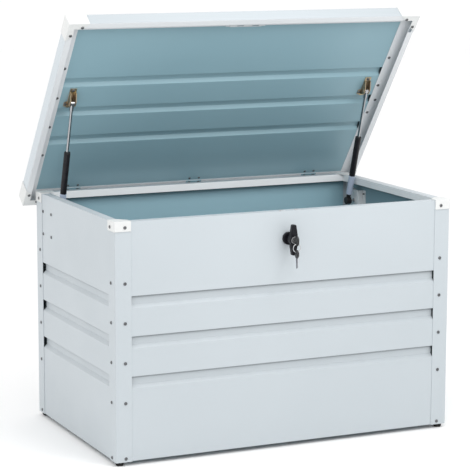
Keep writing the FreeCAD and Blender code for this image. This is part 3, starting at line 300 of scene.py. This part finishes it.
def wall_sheet(name, axis, side, inner_light_gain=1.0):
    """Coat of the wall across one axis, whose ends run under the posts."""
    along = "y" if axis == "x" else "x"

    def outer_light_and_shade(graph, outer, place, facing):
        # Painted light on the lip; painted shade under the groove edges and in the gaps
        # under the posts.
        rim = lip_mask(graph, place, facing)
        outer = graph.mix(rim, outer, powder(graph, LIT_LIP, LIT_LIP_SHADE))
        outer = graph.mix(groove_shade_line(graph, place), outer, PAINTED_SHADE)
        return graph.mix(post_gap_shade_mask(graph, place, along), outer, POST_GAP_SHADE)

    def inner_painted_shade(graph, inner, place):
        # Painted shadow under the rim, on the wall's inner skin.
        shadow = falling_band(graph, place[2], *RIM_SHADOW)
        return graph.mix(shadow, inner, PAINTED_SHADE)

    return two_tone(name, wall_inside(axis, side), outer_light_and_shade, inner_painted_shade, inner_light_gain)


def lid_sheet(name):
    """Coat of the lid panel."""
    def outer_light_and_shade(graph, outer, place, facing):
        return outer

    def inner_painted_shade(graph, inner, place):
        return graph.mix(rib_shade_line(graph), inner, PAINTED_SHADE)

    return two_tone(name, lid_inside, outer_light_and_shade, inner_painted_shade)


def near_rim(graph, place):
    """Mask of the top of a wall, down to the end of its hanging lip."""
    return graph.math("GREATER_THAN", place[2], RIM_TOP - LIP_DROP)


def lip_mask(graph, place, facing):
    """Mask of the hanging lip of the rim, without its flat top and the wall's face."""
    level = graph.math("ABSOLUTE", facing[2])
    across = graph.math("DIVIDE", graph.math("ABSOLUTE", place[0]), WALL_FACE["x"])
    along = graph.math("DIVIDE", graph.math("ABSOLUTE", place[1]), WALL_FACE["y"])
    within = graph.math("LESS_THAN", graph.math("MAXIMUM", across, along), LIP_SHARE)
    upright = graph.math("LESS_THAN", level, LEVEL_FACING)
    lip = graph.math("MULTIPLY", within, upright)
    return graph.math("MULTIPLY", lip, near_rim(graph, place))


def falling_band(graph, value, start, width, strength):
    """Mask that starts sharply at a value and fades out over a width.

    A negative width makes it fade towards lower values.
    """
    fade = graph.span(value, strength, 0.0, start, start + width)
    middle = graph.math("SUBTRACT", value, start + 0.45 * width)
    inside = graph.math("LESS_THAN", graph.math("ABSOLUTE", middle), 0.56 * abs(width))
    return graph.math("MULTIPLY", fade, inside)


def strongest(graph, masks):
    """Largest of several masks."""
    total = masks[0]
    for mask in masks[1:]:
        total = graph.math("MAXIMUM", total, mask)
    return total


def groove_shade_line(graph, place):
    """Painted shade line under the upper edge of each groove."""
    reach = graph.math("ABSOLUTE", place[0]), graph.math("ABSOLUTE", place[1])
    across = graph.math("SUBTRACT", reach[0], WALL_FACE["x"] - GROOVE_PROBE)
    along = graph.math("SUBTRACT", reach[1], WALL_FACE["y"] - GROOVE_PROBE)
    recessed = graph.math("LESS_THAN", graph.math("MAXIMUM", across, along), 0.0)
    lines = [falling_band(graph, place[2], top, -SHADE_LINE_WIDTH, 0.85) for top in GROOVE_TOPS]
    return graph.math("MULTIPLY", strongest(graph, lines), recessed)


def rib_shade_line(graph):
    """Painted shade line along the step of each lid rib, and painted shade on its ends
    over the side rails.
    """
    turn = {"Vector": graph.place(), "Center": HINGE_LINE, "Angle": OPEN_ANGLE}
    closed = graph.add("VectorRotate", turn, rotation_type="X_AXIS").outputs[0]
    place = graph.split(closed)
    raised = graph.math("GREATER_THAN", place[2], RIB_LEVEL)
    lines = [falling_band(graph, place[1], step, SHADE_LINE_WIDTH, 0.80) for step in RIB_STEPS]
    ends = graph.math("GREATER_THAN", graph.math("ABSOLUTE", place[0]), RIB_END)
    ends = graph.math("MULTIPLY", ends, 0.92)
    return graph.math("MULTIPLY", strongest(graph, lines + [ends]), raised)


def post_gap_shade_mask(graph, place, along):
    """Mask of the ends of a wall that the post flanges cover, painted dark as shade where
    the grooves show them.
    """
    reach = graph.math("ABSOLUTE", place["xy".index(along)])
    low = graph.math("LESS_THAN", place[2], POST_SHADE_TOP)
    covered = graph.math("GREATER_THAN", reach, POST_EDGE[along])
    return graph.math("MULTIPLY", covered, low)


def wall_inside(axis, side):
    """Mask of a wall's inner skin, for the wall across one axis."""
    index = "xy".index(axis)

    def mask(graph):
        place = graph.split(graph.place())
        facing = graph.split(graph.facing())
        inward = graph.math("MULTIPLY", facing[index], -side)
        level = graph.math("LESS_THAN", place[2], INNER_SKIN_TOP)
        flat = graph.math("LESS_THAN", graph.math("ABSOLUTE", inward), INWARD_FACING)
        upward = graph.math("GREATER_THAN", facing[2], LEVEL_FACING)
        shelf = graph.math("MULTIPLY", graph.math("MULTIPLY", flat, upward), level)
        skin = graph.math("GREATER_THAN", inward, INWARD_FACING)
        skin = graph.math("MAXIMUM", skin, shelf)
        reach = graph.math("MULTIPLY", place[index], side)
        depth = graph.math("SUBTRACT", WALL_FACE[axis], reach)
        deep = graph.math("GREATER_THAN", depth, LIP_DEPTH)
        lip = graph.math("MULTIPLY", deep, near_rim(graph, place))
        return graph.math("MULTIPLY", skin, graph.math("SUBTRACT", 1.0, lip))
    return mask


def rail_coat(name, gain):
    """Coat of the lid rails, lighter on the flanges that face down when closed; the gain
    scales the webs' colour as painted light and shade.
    """
    graph = Graph(name)
    normal, edges = powder_surface(graph, COAT_EDGE)
    web = powder(graph, scaled(SHELL, gain), scaled(SHELL_SHADE, gain))
    body = graph.mix(lid_inside(graph), web, powder(graph, RIM, RIM_SHADE))
    body = rub_edges(graph, body, edges, scaled(RIM, 1.1), 0.5)
    return coat_finish(graph, body, normal, *COAT_GLOSS)


def lid_inside(graph):
    """Mask of the underside of the lid sheet, read with the lid turned closed."""
    turned = graph.add("VectorRotate", {"Vector": graph.facing(), "Angle": OPEN_ANGLE},
                       rotation_type="X_AXIS").outputs[0]
    facing = graph.split(turned)
    below = graph.math("LESS_THAN", facing[2], -LID_FACING)
    flat = graph.math("LESS_THAN", graph.math("ABSOLUTE", facing[2]), LID_FACING)
    rear = graph.math("GREATER_THAN", facing[1], LEVEL_FACING)
    step = graph.math("MULTIPLY", flat, rear)
    return graph.math("MAXIMUM", below, step)


def metal(name, colour, shade, roughness, scale=300.0):
    """Bare or plated metal with fine marks."""
    graph = Graph(name)
    rounded, edges = graph.soft_edges(METAL_EDGE)
    marks = graph.noise(scale, 4.0)
    patches = graph.span(graph.noise(35.0, 3.0), 0.0, 1.0)
    body = graph.mix(patches, colour, shade)
    body = graph.mix(graph.math("MULTIPLY", edges, 0.6), body, scaled(colour, 1.25))
    gloss = graph.span(marks, roughness - 0.07, roughness + 0.09)
    normal = graph.bump(marks, METAL_GRAIN, rounded)
    return graph.finish(body, gloss, normal, Metallic=1.0)


def zinc(name):
    """Yellow zinc plating with its rainbow tints."""
    graph = Graph(name)
    rounded, edges = graph.soft_edges(FINE_EDGE)
    broad = graph.span(graph.noise(22.0, 2.0), 0.0, 1.0)
    tint = graph.mix(broad, ZINC_GOLD, ZINC_OLIVE)
    narrow = graph.span(graph.noise(41.0, 2.0), 0.0, 0.55)
    tint = graph.mix(narrow, tint, ZINC_ROSE)
    tint = graph.mix(graph.math("MULTIPLY", edges, 0.5), tint, ZINC_EDGE)
    marks = graph.noise(380.0, 3.0)
    gloss = graph.span(marks, 0.26, 0.42)
    return graph.finish(tint, gloss, graph.bump(marks, METAL_GRAIN, rounded), Metallic=0.9)


def plastic(name, colour, roughness, scale=900.0, depth=0.00003):
    """Moulded plastic or rubber with a fine texture."""
    graph = Graph(name)
    rounded, edges = graph.soft_edges(FINE_EDGE)
    grain = graph.noise(scale, 2.0)
    lighter = tuple(part * 1.9 + 0.01 for part in colour)
    body = graph.mix(graph.span(graph.noise(70.0, 3.0), 0.0, 0.35), colour, lighter)
    body = graph.mix(graph.math("MULTIPLY", edges, 0.35), body, lighter)
    gloss = graph.span(grain, roughness - 0.05, roughness + 0.08)
    normal = graph.bump(grain, depth, rounded)
    return graph.finish(body, gloss, normal, Specular_IOR_Level=0.18)


def key_finish(name, metal_mask):
    """Black moulded bow and nickel blade in one piece; the mask marks the blade."""
    graph = Graph(name)
    rounded, edges = graph.soft_edges(METAL_EDGE)
    blade = metal_mask(graph)
    grain = graph.noise(900.0, 2.0)
    black = graph.mix(edges, KEY_BLACK, KEY_BLACK_EDGE)
    body = graph.mix(blade, black, KEY_NICKEL)
    graph.feed(graph.shader.inputs["Metallic"], blade)
    gloss = graph.span(grain, 0.28, 0.42)
    return graph.finish(body, gloss, graph.bump(grain, METAL_GRAIN, rounded))


def key_blade(graph):
    """Mask of the blade of the key in the lock."""
    place = graph.split(graph.place())
    thin = graph.math("LESS_THAN", graph.math("ABSOLUTE", place[0]), KEY_BLADE_HALF)
    behind = graph.math("GREATER_THAN", place[1], KEY_BLADE_FRONT)
    return graph.math("MULTIPLY", thin, behind)


def spare_blade(graph):
    """Mask of the blade of the spare key."""
    place = graph.split(graph.place())
    return graph.math("LESS_THAN", place[2], SPARE_BLADE_TOP)


def dress(material, *names):
    """Give CAD nodes a material."""
    for name in names:
        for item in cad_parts[name].material_slots:
            item.link = "OBJECT"
            item.material = material


def dress_group(material, word):
    """Give every CAD node whose name starts with a word a material."""
    dress(material, *[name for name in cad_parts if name.startswith(word)])


def lathe(name, outline, start, end, material, steps=64):
    """Ring turned about the line from start to end, from (radius, height) points."""
    mesh = bpy.data.meshes.new(name)
    shape = bmesh.new()
    rings = []
    for step in range(steps):
        angle = math.tau * step / steps
        spots = [(r * math.cos(angle), r * math.sin(angle), h) for r, h in outline]
        rings.append([shape.verts.new(spot) for spot in spots])
    for step, ring in enumerate(rings):
        after = rings[(step + 1) % steps]
        for i in range(len(outline)):
            j = (i + 1) % len(outline)
            shape.faces.new((ring[i], after[i], after[j], ring[j]))
    bmesh.ops.recalc_face_normals(shape, faces=shape.faces)
    turn = (end - start).to_track_quat("Z", "Y").to_matrix().to_4x4()
    bmesh.ops.transform(shape, matrix=Matrix.Translation(start) @ turn, verts=shape.verts)
    shape.to_mesh(mesh)
    shape.free()
    mesh.materials.append(material)
    piece = bpy.data.objects.new(name, mesh)
    bpy.context.scene.collection.objects.link(piece)
    for face in mesh.polygons:
        face.use_smooth = True
    mesh.set_sharp_from_angle(angle=math.radians(40))
    return piece


def ring_outline(inner, outer, low, high, bevel):
    """Closed outline of a bevelled ring."""
    return [
        (inner, low), (outer - bevel, low), (outer, low + bevel),
        (outer, high - bevel), (outer - bevel, high), (inner, high),
    ]


def make_struts():
    """Sleeves and end rings of the gas strut tubes."""
    sleeve = coat("sleeve_foil", *SLEEVE_FOIL, 0.30, 0.0002)
    black = plastic("gland_plastic", GLAND_BLACK, 0.40)
    for word, side in SIDES.items():
        flip = Vector((side, 1, 1))
        ball, pivot = STRUT_BALL * flip, STRUT_PIVOT * flip
        piece = lathe("strut_sleeve_" + word, ring_outline(*SLEEVE), ball, pivot, sleeve)
        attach(piece, "strut_tube_" + word)
        piece = lathe("strut_gland_" + word, ring_outline(*GLAND), ball, pivot, black)
        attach(piece, "strut_tube_" + word)


def dress_sheets():
    """Powder coats of the walls, tray, posts, rails and caps."""
    dress(wall_sheet("wall_front", "y", -1), "front_panel")
    # The back wall's teal is lightened as painted light and the right wall's darkened as
    # painted shade.
    dress(wall_sheet("wall_back", "y", 1, 1.25), "back_panel")
    dress(wall_sheet("wall_left", "x", -1), "left_panel")
    dress(wall_sheet("wall_right", "x", 1, 0.88), "right_panel")
    dress(lid_sheet("lid_sheet"), "lid_panel")
    teal = coat("teal_coat", TEAL, TEAL_SHADE)
    dress(teal, "floor_tray")
    dress_group(teal, "hinge_moving_")
    dress_group(coat("shell_coat", SHELL, SHELL_SHADE), "post_")
    # The front and rear rails' webs are darkened as painted shade and the side rails' webs
    # lightened as painted light.
    dress(rail_coat("rail_coat", 0.94), "lid_rail_front", "lid_rail_rear", "latch_strike")
    dress(rail_coat("side_rail_coat", 1.15), "lid_rail_left", "lid_rail_right")
    white = coat("white_coat", WHITE, WHITE_SHADE, 0.38)
    dress_group(white, "rim_cap_")
    dress_group(white, "lid_cap_")


def dress_fittings():
    """Feet, fasteners, hinges and brackets."""
    dress_group(plastic("foot_rubber", RUBBER, 0.75, 600.0, 0.00008), "foot_")
    grey = metal("screw_steel", *SCREW_STEEL, 0.42)
    dress(grey, "frame_screws", "wall_screws", "lid_screws", "lid_cap_screws")
    dress_group(coat("hinge_coat", *HINGE, 0.38, FINE_EDGE), "hinge_fixed_")
    dress_group(coat("bracket_coat", *BRACKET, 0.40, 0.0008), "strut_bracket_")
    dress_group(zinc("yellow_zinc"), "lid_bracket_")


def dress_works():
    """Gas struts, lock, latch and keys."""
    steel = metal("bright_steel", *BRIGHT_STEEL, 0.26)
    dress(steel, "hinge_pins", "strut_ball_studs", "latch_guides", "lock_nut", "lock_cam",
          "latch_slide", "lock_cylinder", "key_ring")
    dress_group(plastic("tube_paint", TUBE_BLACK, 0.22, 500.0, 0.00001), "strut_tube_")
    dress_group(plastic("socket_plastic", SOCKET_BLACK, 0.42), "strut_end_")
    dress_group(metal("rod_chrome", *ROD_CHROME, 0.16, 900.0), "strut_rod_")
    dress(plastic("handle_plastic", HANDLE_BLACK, 0.30), "lock_handle", "lock_housing")
    dress(key_finish("key_finish", key_blade), "key")
    dress(key_finish("spare_finish", spare_blade), "spare_key")


def make_floor():
    """Pale studio floor."""
    graph = Graph("studio_floor")
    tone = graph.mix(graph.span(graph.noise(0.8), 0.0, 1.0), FLOOR, FLOOR_SHADE)
    grain = graph.noise(240.0)
    material = graph.finish(tone, 0.75, graph.bump(grain, 0.00005))
    mesh = bpy.data.meshes.new("studio_floor")
    shape = bmesh.new()
    bmesh.ops.create_grid(shape, x_segments=8, y_segments=8, size=FLOOR_HALF)
    shape.to_mesh(mesh)
    shape.free()
    mesh.materials.append(material)
    floor = bpy.data.objects.new("studio_floor", mesh)
    bpy.context.scene.collection.objects.link(floor)


def area_light(name, place, aim, width, power):
    """Soft square light aimed at a point."""
    data = bpy.data.lights.new(name, "AREA")
    data.size = width
    data.energy = power
    light = bpy.data.objects.new(name, data)
    bpy.context.scene.collection.objects.link(light)
    light.location = place
    direction = Vector(aim) - Vector(place)
    light.rotation_euler = direction.to_track_quat("-Z", "Y").to_euler()


def make_lights():
    """Bright surround with three soft lights."""
    world = bpy.data.worlds.new("studio")
    bpy.context.scene.world = world
    world.use_nodes = True
    background = world.node_tree.nodes["Background"]
    background.inputs["Color"].default_value = (1.0, 1.0, 1.0, 1.0)
    background.inputs["Strength"].default_value = WORLD_STRENGTH
    for row in LIGHTS:
        area_light(*row)


def make_camera():
    """Camera at the viewing angle of the product picture."""
    data = bpy.data.cameras.new("camera")
    data.lens = LENS
    data.sensor_width = SENSOR
    data.clip_end = CLIP_END
    camera = bpy.data.objects.new("camera", data)
    bpy.context.scene.collection.objects.link(camera)
    ahead = Vector(CAMERA_AHEAD).normalized()
    turn = ahead.to_track_quat("-Z", "Y").to_matrix().to_4x4()
    roll = Matrix.Rotation(CAMERA_ROLL, 4, "Z")
    camera.matrix_world = Matrix.Translation(CAMERA_PLACE) @ turn @ roll
    bpy.context.scene.camera = camera


bpy.context.scene.view_settings.view_transform = "Standard"
make_camera()
dress_sheets()
dress_fittings()
dress_works()
make_struts()
make_floor()
make_lights()
